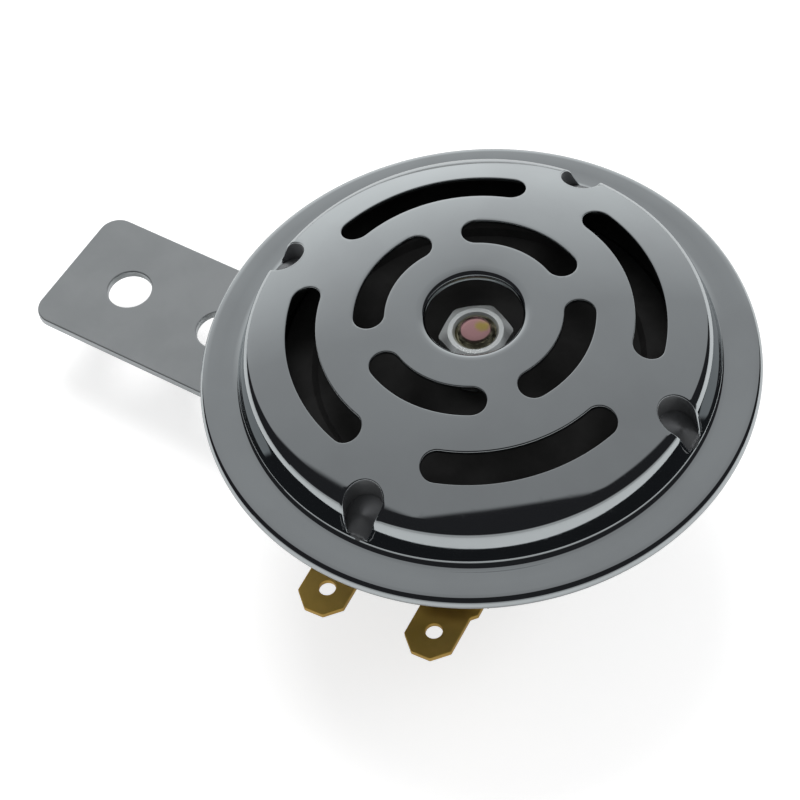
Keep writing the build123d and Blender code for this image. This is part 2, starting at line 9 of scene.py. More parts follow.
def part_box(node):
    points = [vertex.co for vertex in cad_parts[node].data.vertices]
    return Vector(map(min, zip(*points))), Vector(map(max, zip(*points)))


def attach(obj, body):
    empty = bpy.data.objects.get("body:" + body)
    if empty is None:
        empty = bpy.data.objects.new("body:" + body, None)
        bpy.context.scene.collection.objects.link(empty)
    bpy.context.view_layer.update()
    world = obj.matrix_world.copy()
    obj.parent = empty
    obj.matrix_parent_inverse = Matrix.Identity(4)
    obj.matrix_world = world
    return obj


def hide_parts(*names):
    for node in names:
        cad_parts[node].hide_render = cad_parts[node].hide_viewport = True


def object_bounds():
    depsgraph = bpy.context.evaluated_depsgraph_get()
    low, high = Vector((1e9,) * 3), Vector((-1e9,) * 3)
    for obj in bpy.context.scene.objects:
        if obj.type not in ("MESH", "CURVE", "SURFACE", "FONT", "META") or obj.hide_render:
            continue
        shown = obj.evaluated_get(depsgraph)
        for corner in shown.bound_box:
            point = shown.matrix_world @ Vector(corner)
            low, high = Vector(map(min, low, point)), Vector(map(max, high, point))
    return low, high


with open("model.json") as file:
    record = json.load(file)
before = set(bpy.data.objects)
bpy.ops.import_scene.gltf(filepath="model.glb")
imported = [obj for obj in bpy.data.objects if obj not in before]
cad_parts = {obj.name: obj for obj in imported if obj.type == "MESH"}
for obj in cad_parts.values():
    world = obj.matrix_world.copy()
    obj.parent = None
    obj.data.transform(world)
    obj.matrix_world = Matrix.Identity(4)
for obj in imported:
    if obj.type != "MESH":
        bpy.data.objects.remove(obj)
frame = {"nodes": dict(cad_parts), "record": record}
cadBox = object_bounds()
nodes = frame["nodes"]
slotOf = {entry["node"]: entry["material_slot"] for entry in frame["record"]["subparts"]}
mm = 0.001
print("frame loaded:", len(nodes), "nodes")


# what the pieces share

grilleLow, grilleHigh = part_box("front_grille")
hornX = ((grilleLow + grilleHigh) / 2).x
hornTop = grilleHigh.z
weld = 0.0001    # points this close, in millimetres, are one


class Val:
    # one socket of a node tree; + - * / and < add Math nodes behind it
    def __init__(self, web, socket):
        self.web = web
        self.socket = socket

    def math(self, operation, *others, clamp=False):
        settings = {"operation": operation, "use_clamp": clamp}
        return self.web.node("ShaderNodeMath", settings, dict(enumerate([self, *others])))

    def __add__(self, other):
        return self.math("ADD", other)

    __radd__ = __add__

    def __sub__(self, other):
        return self.math("SUBTRACT", other)

    def __rsub__(self, other):
        return self.web.node("ShaderNodeMath", {"operation": "SUBTRACT"}, {0: other, 1: self})

    def __mul__(self, other):
        return self.math("MULTIPLY", other)

    __rmul__ = __mul__

    def __truediv__(self, other):
        return self.math("DIVIDE", other)

    def __lt__(self, other):
        return self.math("LESS_THAN", other)

    def clamped(self):
        return self.math("ADD", 0.0, clamp=True)

    def between(self, low, high):
        # 0 at low, 1 at high, smooth in between
        sockets = {"Value": self, "From Min": low, "From Max": high}
        return self.web.node("ShaderNodeMapRange", {"interpolation_type": "SMOOTHSTEP"}, sockets)

    def dot(self, direction):
        sockets = {0: self, 1: direction}
        return self.web.node("ShaderNodeVectorMath", {"operation": "DOT_PRODUCT"}, sockets, out="Value")


class Web:
    # a node tree whose nodes all come from node()
    def __init__(self, tree):
        self.tree = tree
        self.coords = tree.nodes.new("ShaderNodeTexCoord")

    def node(self, kind, settings, sockets, out=0):
        made = self.tree.nodes.new(kind)
        for key, value in settings.items():
            if key == "stops":
                self.ramp(made.color_ramp, value)
            else:
                setattr(made, key, value)
        for key, value in sockets.items():
            self.link(value, made.inputs[key])
        return Val(self, made.outputs[out])

    def link(self, value, socket):
        if isinstance(value, Val):
            self.tree.links.new(value.socket, socket)
        else:
            socket.default_value = value

    def ramp(self, ramp, stops):
        while len(ramp.elements) < len(stops):
            ramp.elements.new(1.0)
        for element, (position, shade) in zip(ramp.elements, stops):
            element.position = position
            element.color = (*shade, 1.0)

    def mix(self, share, first, second):
        # colours by share; sockets 6 and 7 of a Mix node are its two colours
        sockets = {0: share, 6: colour(first), 7: colour(second)}
        return self.node("ShaderNodeMix", {"data_type": "RGBA"}, sockets, out=2)

    def notLighting(self, inGloss):
        # 1 for what the camera sees straight or through glass, inGloss for what gloss shows
        seen = [self.node("ShaderNodeLightPath", {}, {}, out=name)
                for name in ("Is Camera Ray", "Is Transmission Ray", "Is Glossy Ray")]
        return (seen[0] + seen[1] + seen[2] * inGloss).clamped()


class Finish(Web):
    # a material on the principled shader; constants go straight to its sockets
    def __init__(self, name, **constants):
        self.material = bpy.data.materials.new(name)
        self.material.use_nodes = True
        super().__init__(self.material.node_tree)
        self.shader = self.tree.nodes["Principled BSDF"]
        for socket, value in constants.items():
            self.shader.inputs[socket.replace("_", " ")].default_value = value
        self.place = Val(self, self.coords.outputs["Object"])

    def noise(self, scale, detail=3.0, roughness=0.55, stretch=(1, 1, 1)):
        # scale in waves to the metre
        place = self.node("ShaderNodeMapping", {}, {"Vector": self.place, "Scale": stretch})
        sockets = {"Vector": place, "Scale": scale, "Detail": detail, "Roughness": roughness}
        return self.node("ShaderNodeTexNoise", {}, sockets)

    def bump(self, height, strength, distance):
        sockets = {"Height": height, "Strength": strength, "Distance": distance}
        return self.node("ShaderNodeBump", {}, sockets)

    def feed(self, **links):
        for socket, value in links.items():
            self.link(value, self.shader.inputs[socket.replace("_", " ")])
        return self.material


def colour(value):
    return value if isinstance(value, Val) else (*value, 1.0)


def arcPoints(centre, radius, start, end, steps):
    # points of an arc in a plane, angles in degrees
    points = []
    for step in range(steps + 1):
        angle = math.radians(start + (end - start) * step / steps)
        points.append((centre[0] + radius * math.cos(angle), centre[1] + radius * math.sin(angle)))
    return points


def flat(point):
    return Vector((point.x, point.y, 0))


def heights(node):
    # lowest and highest level of a CAD node, in millimetres
    low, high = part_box(node)
    return low.z / mm, high.z / mm


def meshOf(bm, name):
    mesh = bpy.data.meshes.new(name)
    bm.to_mesh(mesh)
    bm.free()
    return mesh


def shaded(name, bm, sharp):
    # smooth but for edges sharper than an angle, flat faces kept flat by their size
    mesh = meshOf(bm, name)
    mesh.shade_smooth()
    mesh.set_sharp_from_angle(angle=math.radians(sharp))
    holder = bpy.data.objects.new(name, mesh)
    bpy.context.scene.collection.objects.link(holder)
    holder.modifiers.new("weighted", "WEIGHTED_NORMAL").keep_sharp = True
    evaluated = holder.evaluated_get(bpy.context.evaluated_depsgraph_get())
    done = bpy.data.meshes.new_from_object(evaluated)
    bpy.data.objects.remove(holder)
    done.name = name
    return done


def drawnOn(bm, edges, placeAt, steps):
    # open edges drawn on in steps; placeAt moves each point of the first edge for a step
    start = {v: v.co.copy() for v in {v for e in edges for v in e.verts}}
    for step in range(1, steps + 1):
        grown = bmesh.ops.extrude_edge_only(bm, edges=edges)["geom"]
        newEdges = [g for g in grown if isinstance(g, bmesh.types.BMEdge)]
        moved = {}
        for v in {v for e in newEdges for v in e.verts}:
            old = next(e.other_vert(v) for e in v.link_edges if e.other_vert(v) in start)
            moved[v] = start[old]
        for v, origin in moved.items():
            v.co = placeAt(origin, step)
        start = moved
        edges = newEdges
    return edges


# front cover, in millimetres, heights from the middle of its face

coverSet = {
    "sheet": 0.5,
    "rim": 34.0,
    "flangeDrop": 9.4,        # face down to the flange
    "holeRadius": 5.8,
    "holeBend": 0.9,
    "lipDepth": 1.2,
    "domeDrop": 4.22,
    "domeRound": 0.8,         # share of the fall by the radius squared, the rest by its fourth power
    "shoulder": 27.02,
    "shoulderBend": 2.2,
    "wallLean": 14.5,
    "footBend": 1.1,
    "rimBend": 1.075,
    "lap": 2.4,
    "roundSteps": 288,
    "lipRows": 6,
    "domeRows": 52,
    "shoulderRows": 8,
    "wallRows": 4,
    "footRows": 7,
    "rimRows": 16,
    "cutTop": 1.0,            # the cutting tools start here, above the face
    "cutBottom": -8.0,        # the slots' tool ends here, under the dome and above the flange
    "sharp": 42.0,
}

slotSet = {
    "turn": 1.6,
    "width": 3.7,
    "rows": ((12.5, 27.4, 0.0), (20.8, 28.2, 45.0)),   # radius, half angle, start angle
    "count": 4,
    "edgeRoll": 0.18,
    "rollSteps": 4,
    "outlineSteps": 40,
    "capSteps": 16,
    "edgeSearch": 0.03,       # how far off the cut a point of its edge may lie
}

pocketSet = {
    "count": 4,
    "reach": 26.7,
    "radius": 2.35,
    "depth": 7.2,             # middle of the sloping floor
    "tilt": 27.0,
    "cone": 0.8,
    "coneRounds": 6,
    "edgeRoll": 0.2,
    "outlineSteps": 64,
    "cutRings": 5,
    "rollSteps": 4,
    "sideSteps": 3,
    "coneSteps": 8,
    "edgeSearch": 0.1,
    "paintedShadeSearch": 0.03,     # how far past the side the pocket's darker finish goes, painted shade for the recess
}


def domeFall(radius):
    # fall of the dome below the face and its slope
    start = coverSet["holeRadius"] + coverSet["holeBend"]
    span = coverSet["shoulder"] - start
    u = max(0.0, (radius - start) / span)
    part = coverSet["domeRound"]
    fall = coverSet["domeDrop"] * (part * u ** 2 + (1 - part) * u ** 4)
    slope = coverSet["domeDrop"] / span * (2 * part * u + 4 * (1 - part) * u ** 3)
    return fall, slope


def coverProfile():
    # outside of the sheet as radius and height, from the lip in the centre hole over the dome,
    # the shoulder and the leaning wall to the end of the folded rim
    own = coverSet
    start = own["holeRadius"] + own["holeBend"]
    points = [(own["holeRadius"], -own["lipDepth"])]
    points += arcPoints((start, -own["holeBend"]), own["holeBend"], 180, 90, own["lipRows"])
    for row in range(1, own["domeRows"] + 1):
        radius = start + (own["shoulder"] - start) * row / own["domeRows"]
        points.append((radius, -domeFall(radius)[0]))

    fall, slope = domeFall(own["shoulder"])
    tilt = math.degrees(math.atan(slope))
    bend = own["shoulderBend"]
    steep = math.sqrt(1 + slope ** 2)
    centre = (own["shoulder"] - bend * slope / steep, -fall - bend / steep)
    points += arcPoints(centre, bend, 90 - tilt, own["wallLean"], own["shoulderRows"])[1:]

    flange = -own["flangeDrop"]
    lean = math.radians(own["wallLean"])
    wallTop = points[-1]
    footCentreHeight = flange + own["footBend"]
    wallFootHeight = footCentreHeight - own["footBend"] * math.sin(lean)
    wallFoot = wallTop[0] + (wallTop[1] - wallFootHeight) * math.tan(lean)
    for row in range(1, own["wallRows"]):
        share = row / own["wallRows"]
        points.append((wallTop[0] + (wallFoot - wallTop[0]) * share,
                       wallTop[1] + (wallFootHeight - wallTop[1]) * share))

    footCentre = (wallFoot + own["footBend"] * math.cos(lean), footCentreHeight)
    points += arcPoints(footCentre, own["footBend"], 180 + own["wallLean"], 270, own["footRows"])
    foldStart = own["rim"] - own["rimBend"]
    points.append(((footCentre[0] + foldStart) / 2, flange))
    foldCentre = (foldStart, flange - own["rimBend"])
    points += arcPoints(foldCentre, own["rimBend"], 90, -90, own["rimRows"])
    points.append((foldStart - own["lap"], flange - 2 * own["rimBend"]))
    return points


def slotOutline(radius, halfAngle, width):
    # points round a curved slot centred on +X
    half = width / 2
    steps, caps = slotSet["outlineSteps"], slotSet["capSteps"]
    end = math.radians(halfAngle)
    capEnd = (radius * math.cos(end), radius * math.sin(end))
    capStart = (radius * math.cos(end), -radius * math.sin(end))
    points = arcPoints((0, 0), radius + half, -halfAngle, halfAngle, steps)
    points += arcPoints(capEnd, half, halfAngle, halfAngle + 180, caps)[1:-1]
    points += arcPoints((0, 0), radius - half, halfAngle, -halfAngle, steps)
    points += arcPoints(capStart, half, 180 - halfAngle, 360 - halfAngle, caps)[1:-1]
    return points


def eachSlot():
    for radius, halfAngle, start in slotSet["rows"]:
        for number in range(slotSet["count"]):
            yield radius, halfAngle, slotSet["turn"] + start + number * 360 / slotSet["count"]


def slotCentre(point, radius, halfAngle, turn):
    # nearest point of a slot's centre line, in the horn's plane
    angle = math.degrees(math.atan2(point.y, point.x)) - turn
    angle = (angle + 180) % 360 - 180
    angle = math.radians(max(-halfAngle, min(halfAngle, angle)) + turn)
    return Vector((radius * math.cos(angle), radius * math.sin(angle), 0))


def eachPocket():
    for number in range(pocketSet["count"]):
        turn = math.radians(slotSet["turn"] + number * 360 / pocketSet["count"])
        yield Vector((pocketSet["reach"] * math.cos(turn), pocketSet["reach"] * math.sin(turn), 0))


def pocketFloor(place, middle):
    # height of a pocket's tilted blunt cone at a place in the horn's plane
    own = pocketSet
    tilt = math.radians(own["tilt"])
    outward = middle.normalized()
    out = (place - middle).dot(outward)
    across = ((place - middle) - outward * out).length
    rise = 0.0
    for _ in range(own["coneRounds"]):      # the rise shifts the place on the tilted cone
        along = (out - rise * math.sin(tilt)) / math.cos(tilt)
        rise = own["cone"] * (1 - math.hypot(along, across) / own["radius"])
    return -own["depth"] - along * math.sin(tilt) + rise * math.cos(tilt)


def cutBy(mesh, cutterMesh):
    # an open skin with the cutter's space cut out of it and no walls left in the cut
    body = bpy.data.objects.new("cutBody", mesh)
    tool = bpy.data.objects.new("cutTool", cutterMesh)
    for thing in (body, tool):
        bpy.context.scene.collection.objects.link(thing)
        while len(thing.data.materials) < 2:
            thing.data.materials.append(None)
    cutterMesh.polygons.foreach_set("material_index", [1] * len(cutterMesh.polygons))
    cut = body.modifiers.new("cut", "BOOLEAN")
    cut.operation = "DIFFERENCE"
    cut.solver = "EXACT"
    cut.material_mode = "INDEX"
    cut.object = tool
    done = bmesh.new()
    done.from_mesh(body.evaluated_get(bpy.context.evaluated_depsgraph_get()).data)
    for thing in (body, tool):
        bpy.data.objects.remove(thing)
    walls = [f for f in done.faces if f.material_index == 1]
    bmesh.ops.delete(done, geom=walls, context="FACES")
    return done


def slotTool():
    # upright prisms on the slots' outlines, wide enough to leave room for the rolled edges
    tool = bmesh.new()
    width = slotSet["width"] + 2 * slotSet["edgeRoll"]
    low, high = coverSet["cutBottom"], coverSet["cutTop"]
    for radius, halfAngle, turn in eachSlot():
        spun = Matrix.Rotation(math.radians(turn), 3, "Z")
        outline = [spun @ Vector((x, y, low)) for x, y in slotOutline(radius, halfAngle, width)]
        base = tool.faces.new([tool.verts.new(point) for point in outline])
        grown = bmesh.ops.extrude_face_region(tool, geom=[base])
        up = [v for v in grown["geom"] if isinstance(v, bmesh.types.BMVert)]
        bmesh.ops.translate(tool, vec=(0, 0, high - low), verts=up)
    bmesh.ops.recalc_face_normals(tool, faces=tool.faces)
    return meshOf(tool, "slotTool")


def pocketTool():
    # round plugs that end in the pockets' floors
    tool = bmesh.new()
    wide = pocketSet["radius"] + pocketSet["edgeRoll"]
    for middle in eachPocket():
        lidPlace = Matrix.Translation((middle.x, middle.y, coverSet["cutTop"]))
        made = bmesh.ops.create_circle(tool, cap_ends=True, segments=pocketSet["outlineSteps"],
                                       radius=wide, matrix=lidPlace)

        def placeAt(origin, step):
            share = 1 - (step - 1) / pocketSet["cutRings"]
            place = middle + (flat(origin) - middle).normalized() * wide * share
            place.z = pocketFloor(place, middle)
            return place

        lid = made["verts"][0].link_faces[0]
        rim = drawnOn(tool, lid.edges[:], placeAt, pocketSet["cutRings"])
        tip = bmesh.ops.contextual_create(tool, geom=rim)["faces"]
        peak = bmesh.ops.poke(tool, faces=tip)["verts"][0]
        peak.co.z = pocketFloor(middle, middle)
    bmesh.ops.recalc_face_normals(tool, faces=tool.faces)
    return meshOf(tool, "pocketTool")


def coverSkin():
    # the outside of the cover as one open skin with its slots and pockets cut
    bm = bmesh.new()
    profile = [bm.verts.new((radius, 0, height)) for radius, height in coverProfile()]
    line = [bm.edges.new(pair) for pair in zip(profile, profile[1:])]
    bmesh.ops.spin(bm, geom=profile + line, axis=(0, 0, 1), cent=(0, 0, 0), dvec=(0, 0, 0),
                   angle=math.tau, steps=coverSet["roundSteps"], use_merge=True)
    bmesh.ops.recalc_face_normals(bm, faces=bm.faces)
    slotted = cutBy(meshOf(bm, "coverSkin"), slotTool())
    return cutBy(meshOf(slotted, "slottedSkin"), pocketTool())


def linedPockets(bm):
    # each pocket's rolled edge, side and cone, drawn on from its hole in the skin
    roll, radius = pocketSet["edgeRoll"], pocketSet["radius"]
    wide = radius + roll
    rollSteps, sideSteps, coneSteps = (pocketSet[key] for key in ("rollSteps", "sideSteps", "coneSteps"))
    for middle in eachPocket():

        def onEdge(e):
            return len(e.link_faces) == 1 and all(
                (flat(v.co) - middle).length < wide + pocketSet["edgeSearch"] for v in e.verts)

        def placeAt(origin, step):
            away = (flat(origin) - middle).length
            outward = (flat(origin) - middle).normalized()
            side = min(radius, away)
            if step <= rollSteps:
                angle = math.pi / 2 * step / rollSteps
                ring, height = wide - roll * math.sin(angle), origin.z - roll * (1 - math.cos(angle))
            elif step <= rollSteps + sideSteps:
                top, bottom = origin.z - roll, pocketFloor(middle + outward * side, middle)
                ring, height = side, top + (bottom - top) * (step - rollSteps) / sideSteps
            else:
                ring = side * (1 - (step - rollSteps - sideSteps) / coneSteps)
                height = -math.inf          # so the floor counts
            place = middle + outward * min(ring, away)
            place.z = max(height, pocketFloor(place, middle))
            return place

        edges = [e for e in bm.edges if onEdge(e)]
        drawnOn(bm, edges, placeAt, rollSteps + sideSteps + coneSteps)
    bmesh.ops.remove_doubles(bm, verts=bm.verts, dist=weld)


def slotEdge(radius, halfAngle, turn):
    # tells the points on the wide edge cut for one slot
    edge = slotSet["width"] / 2 + slotSet["edgeRoll"]

    def onEdge(co):
        away = (flat(co) - slotCentre(co, radius, halfAngle, turn)).length
        return abs(away - edge) < slotSet["edgeSearch"] and co.z > coverSet["cutBottom"]

    return onEdge


def towardsSlot(co, radius, halfAngle, turn, distance, drop):
    # a point of the dome moved along the dome towards the middle of a slot, then down
    inward = (slotCentre(co, radius, halfAngle, turn) - flat(co)).normalized()
    place = co + inward * distance
    place.z -= domeFall(flat(place).length)[0] - domeFall(flat(co).length)[0] + drop
    return place


def coverMesh():
    # the open skin given its thickness: an inner skin, and a wall at every edge
    bm = coverSkin()
    linedPockets(bm)
    bmesh.ops.recalc_face_normals(bm, faces=bm.faces)
    if max(bm.faces, key=lambda f: f.calc_center_median().z).normal.z < 0:
        bmesh.ops.reverse_faces(bm, faces=bm.faces)
    bm.normal_update()
    outer = bm.verts[:]
    copied = bmesh.ops.duplicate(bm, geom=outer + bm.edges[:] + bm.faces[:])
    bmesh.ops.reverse_faces(bm, faces=[g for g in copied["geom"] if isinstance(g, bmesh.types.BMFace)])
    inside = {v: copied["vert_map"][v] for v in outer}
    for v, twin in inside.items():
        twin.co = v.co - v.normal * coverSet["sheet"]
        for f in twin.link_faces:
            f.material_index = 1

    outerEdges = [e for e in bm.edges if len(e.link_faces) == 1 and e.verts[0] in inside]
    roll, steps = slotSet["edgeRoll"], slotSet["rollSteps"]
    for slot in eachSlot():
        onEdge = slotEdge(*slot)
        edges = [e for e in outerEdges if all(onEdge(v.co) for v in e.verts)]
        outerEdges = [e for e in outerEdges if e not in set(edges)]
        under = {}
        for v in {v for e in edges for v in e.verts}:
            twin = inside[v]
            twin.co = towardsSlot(v.co, *slot, roll, coverSet["sheet"])
            under[tuple(v.co)] = twin.co.copy()

        def placeAt(origin, step):
            if step > steps:
                return under[tuple(origin)]
            angle = math.pi / 2 * step / steps
            return towardsSlot(origin, *slot, roll * math.sin(angle), roll * (1 - math.cos(angle)))

        drawnOn(bm, edges, placeAt, steps + 1)
    under = {tuple(v.co): twin.co.copy() for v, twin in inside.items()}
    drawnOn(bm, outerEdges, lambda origin, step: under[tuple(origin)], 1)
    bmesh.ops.remove_doubles(bm, verts=bm.verts, dist=weld)
    bmesh.ops.recalc_face_normals(bm, faces=bm.faces)

    # the faces in and round each pocket take the darker finish, painted shade for the recess
    paintedShadeReach = pocketSet["radius"] + pocketSet["paintedShadeSearch"]
    for middle in eachPocket():
        for f in bm.faces:
            if (flat(f.calc_center_median()) - middle).length < paintedShadeReach:
                f.material_index = 2
    print("cover:", len(bm.faces), "faces,", sum(not e.is_manifold for e in bm.edges), "open edges")
    place = Matrix.Translation((hornX, 0, hornTop)) @ Matrix.Scale(mm, 4)
    bmesh.ops.transform(bm, matrix=place, verts=bm.verts)
    mesh = meshOf(bm, "front_cover")
    mesh.shade_smooth()
    mesh.set_sharp_from_angle(angle=math.radians(coverSet["sharp"]))
    return mesh


# finishes

platingSet = {
    "shade": (0.56, 0.60, 0.615),
    "hazy": (0.53, 0.565, 0.58),
    "rough": 0.03,
    "hazeRough": 0.03,
    "scuffRough": 0.04,
}


def chromePlate():
    finish = Finish("chromePlate", Metallic=1.0)
    haze = finish.noise(scale=90.0, detail=4.0).between(0.35, 0.75)
    scuffs = finish.noise(scale=900.0, detail=2.0).between(0.6, 0.75)
    ripple = finish.noise(scale=140.0, detail=1.0)
    shade = finish.mix(haze, platingSet["shade"], platingSet["hazy"])
    rough = platingSet["rough"] + haze * platingSet["hazeRough"] + scuffs * platingSet["scuffRough"]
    return finish.feed(Base_Color=shade, Roughness=rough,
                       Normal=finish.bump(ripple, strength=0.02, distance=0.0005))


satinSet = {
    "cloudRough": 0.08,
    "rolledStretch": (0.25, 1, 1),
}


def satinZinc(name, shade, dark, rough, metallic=1.0):
    # rolled or turned metal with a fine grain
    finish = Finish(name, Metallic=metallic)
    cloud = finish.noise(scale=120.0, detail=5.0).between(0.3, 0.7)
    grain = finish.noise(scale=2500.0, detail=2.0, stretch=satinSet["rolledStretch"])
    return finish.feed(Base_Color=finish.mix(cloud, shade, dark),
                       Roughness=rough + cloud * satinSet["cloudRough"],
                       Normal=finish.bump(grain, strength=0.12, distance=0.00003))


plainSet = {
    "fineRough": 0.1,
}


def plain(name, shade, dark, rough, metallic=0.0):
    # board, paper, plastic and dull metal
    finish = Finish(name, Metallic=metallic)
    cloud = finish.noise(scale=200.0, detail=5.0).between(0.3, 0.7)
    fine = finish.noise(scale=1500.0)
    return finish.feed(Base_Color=finish.mix(cloud, shade, dark),
                       Roughness=rough + fine * plainSet["fineRough"],
                       Normal=finish.bump(fine, strength=0.1, distance=0.00003))


stainSet = {
    "pink": (0.66, 0.38, 0.39),
    "olive": (0.58, 0.45, 0.14),
    "green": (0.30, 0.36, 0.20),
    "greenShare": 0.75,
    "spot": (-0.51, -0.73),   # middle of the olive patch, in mm from the horn's axis
    "spotSize": (1.3, -0.3),  # the patch fades in over these squares of distances in mm
    "ragged": 2.0,            # how far the noise shifts that fade
    "endSize": 3.2,
    "threadSize": 4.6,
    "rough": 0.16,
    "fineRough": 0.12,
}


def passivated():
    # yellow passivation: pink end, olive to one side, dark green on the thread
    own = stainSet
    finish = Finish("studPassivated", Metallic=1.0)
    across = finish.place.dot((1, 0, 0)) / mm - hornX / mm
    along = finish.place.dot((0, 1, 0)) / mm
    cloud = finish.noise(scale=900.0, detail=3.0)
    spotX, spotY = own["spot"]
    aside, astray = across - spotX, along - spotY
    ragged = aside * aside + astray * astray + cloud * own["ragged"] - own["ragged"] / 2
    warm = finish.mix(ragged.between(*own["spotSize"]), own["pink"], own["olive"])
    thread = (across * across + along * along + cloud).between(own["endSize"], own["threadSize"])
    shade = finish.mix(thread * own["greenShare"], warm, own["green"])
    fine = finish.noise(scale=3000.0, detail=2.0)
    return finish.feed(Base_Color=shade, Roughness=own["rough"] + fine * own["fineRough"],
                       Normal=finish.bump(fine, strength=0.08, distance=0.00002))


# shade, the darker shade of its clouds, roughness and, where it isn't the usual one, metallic
finishes = {
    "cover_chrome": chromePlate(),
    "housing_zinc": satinZinc("housingZinc", (0.50, 0.52, 0.53), (0.44, 0.46, 0.47), 0.32),
    "bracket_zinc": satinZinc("bracketZinc", (0.60, 0.63, 0.64), (0.55, 0.58, 0.59), 0.34),
    "spring_steel": plain("springSteel", (0.035, 0.035, 0.035), (0.02, 0.02, 0.02), 0.5, 0.6),
    "soft_iron": satinZinc("softIron", (0.62, 0.58, 0.50), (0.52, 0.48, 0.42), 0.3),
    "fastener_zinc": satinZinc("fastenerZinc", (0.88, 0.92, 0.92), (0.70, 0.74, 0.74), 0.26, 0.88),
    "terminal_brass": satinZinc("terminalBrass", (0.80, 0.52, 0.14), (0.62, 0.40, 0.09), 0.33),
    "board_fibre": plain("boardFibre", (0.55, 0.54, 0.50), (0.48, 0.47, 0.43), 0.7),
    "gasket_paper": plain("gasketPaper", (0.30, 0.22, 0.13), (0.24, 0.17, 0.1), 0.8),
    "bobbin_nylon": plain("bobbinNylon", (0.7, 0.68, 0.6), (0.64, 0.62, 0.54), 0.45),
    "copper_wire": plain("copperWire", (0.6, 0.22, 0.08), (0.45, 0.16, 0.06), 0.35, 0.9),
    "arm_bronze": satinZinc("armBronze", (0.62, 0.40, 0.18), (0.5, 0.32, 0.14), 0.3),
    "contact_metal": satinZinc("contactMetal", (0.5, 0.5, 0.52), (0.42, 0.42, 0.44), 0.35),
    # cover_recess: a darker, duller grey than the plating, painted shade for the pockets
    "cover_recess": satinZinc("coverRecessPaintedShade", (0.34, 0.35, 0.36), (0.29, 0.30, 0.31), 0.44),
    "cover_inside": plain("coverInside", (0.36, 0.37, 0.38), (0.29, 0.30, 0.31), 0.4, 0.4),
    "stud_passivated": passivated(),
    "lead_sleeve": plain("leadSleeve", (0.03, 0.03, 0.03), (0.02, 0.02, 0.02), 0.5),
}

for name, slot in slotOf.items():
    node = nodes[name]
    node.data.materials.clear()
    node.data.materials.append(finishes[slot])
print("finishes:", len(finishes))


def finished(name, mesh, node, finish=None):
    # a finished piece in place of a CAD node, riding on the horn, in that node's finish or another
    piece = bpy.data.objects.new(name, mesh)
    bpy.context.scene.collection.objects.link(piece)
    piece.data.materials.append(finishes[finish or slotOf[node]])
    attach(piece, "root")
    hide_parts(node)
    return piece


frontCover = finished("front_cover", coverMesh(), "front_grille")
# the inner skin's finish, then the pockets' darker one, which is painted shade
for finish in ("cover_inside", "cover_recess"):
    frontCover.data.materials.append(finishes[finish])
print("front cover made")


# sheet pieces, boards and small parts keep the CAD's solid and get eased edges

easedSet = {
    "weld": 0.000002,         # metres
    "flatWithin": 0.5,
    "sharpFrom": 32.0,
    "steps": 3,
    "shadeSharp": 40.0,
    "edges": {
        "bracket": 0.22,
        "terminal_left": 0.16,
        "terminal_right": 0.16,
        "terminal_board": 0.15,
        "inner_board": 0.15,
        "terminal_rivets": 0.12,
        "front_washer": 0.12,
        "front_lock_washer": 0.12,
        "rear_washer": 0.12,
        "rear_lock_washer": 0.15,
        "adjusting_bush": 0.1,
        "adjusting_screw": 0.12,
    },
}

tabSet = {
    "nodes": ("terminal_left", "terminal_right"),
    "turn": 94.2,
    "holeReach": 28.7,
    "side": 7.25,
    "holeSearch": 1.5,
    "widen": 1.22,
}


def widenHole(bm):
    # the tab's hole opened out to its punched size
    turn = math.radians(tabSet["turn"])
    along, across = Vector((math.cos(turn), math.sin(turn))), Vector((-math.sin(turn), math.cos(turn)))
    for side in (-1, 1):
        centre = along * tabSet["holeReach"] + across * side * tabSet["side"]
        centre = Vector((centre.x * mm + hornX, centre.y * mm))
        for v in bm.verts:
            out = v.co.xy - centre
            if out.length < tabSet["holeSearch"] * mm:
                v.co.xy = centre + out * tabSet["widen"]


def eased(node, edge):
    # a CAD node's solid with its sharp edges rounded off
    bm = bmesh.new()
    bm.from_mesh(nodes[node].data)
    bmesh.ops.remove_doubles(bm, verts=bm.verts, dist=easedSet["weld"])
    if node in tabSet["nodes"]:
        widenHole(bm)
    bmesh.ops.dissolve_limit(bm, angle_limit=math.radians(easedSet["flatWithin"]), verts=bm.verts,
                             edges=bm.edges)
    limit = math.radians(easedSet["sharpFrom"])
    sharp = [e for e in bm.edges if len(e.link_faces) == 2 and e.calc_face_angle() > limit]
    bmesh.ops.bevel(bm, geom=sharp, offset=edge * mm, offset_type="OFFSET", affect="EDGES",
                    segments=easedSet["steps"], profile=0.5, material=-1, clamp_overlap=True)
    bmesh.ops.recalc_face_normals(bm, faces=bm.faces)
    return shaded(node + "_eased", bm, easedSet["shadeSharp"])


for node, edge in easedSet["edges"].items():
    finished(node + "_eased", eased(node, edge), node)
print("eased pieces:", len(easedSet["edges"]))


# nuts and studs are drawn on ring by ring; a ring gives a radius and a height for an angle

def plainRing(radius, height):
    return lambda angle: (radius, height)


def ringSolid(samples, turn, rings, closed=False):
    # a solid through the rings about the horn's axis; closed joins the last ring to the first
    def placeAt(origin, step):
        angle = math.atan2(origin.y, origin.x)
        radius, height = rings[step % len(rings)](angle)
        return Vector((radius * math.cos(angle), radius * math.sin(angle), height))

    bm = bmesh.new()
    made = bmesh.ops.create_circle(bm, cap_ends=not closed, segments=samples, radius=1.0,
                                   matrix=Matrix.Rotation(turn, 4, "Z"))
    for v in made["verts"]:
        v.co = placeAt(v.co, 0)
    last = drawnOn(bm, bm.edges[:], placeAt, len(rings) if closed else len(rings) - 1)
    if closed:
        bmesh.ops.remove_doubles(bm, verts=bm.verts, dist=weld)
    else:
        bmesh.ops.contextual_create(bm, geom=last)
    bmesh.ops.recalc_face_normals(bm, faces=bm.faces)
    place = Matrix.Translation((hornX, 0, 0)) @ Matrix.Scale(mm, 4)
    bmesh.ops.transform(bm, matrix=place, verts=bm.verts)
    return bm


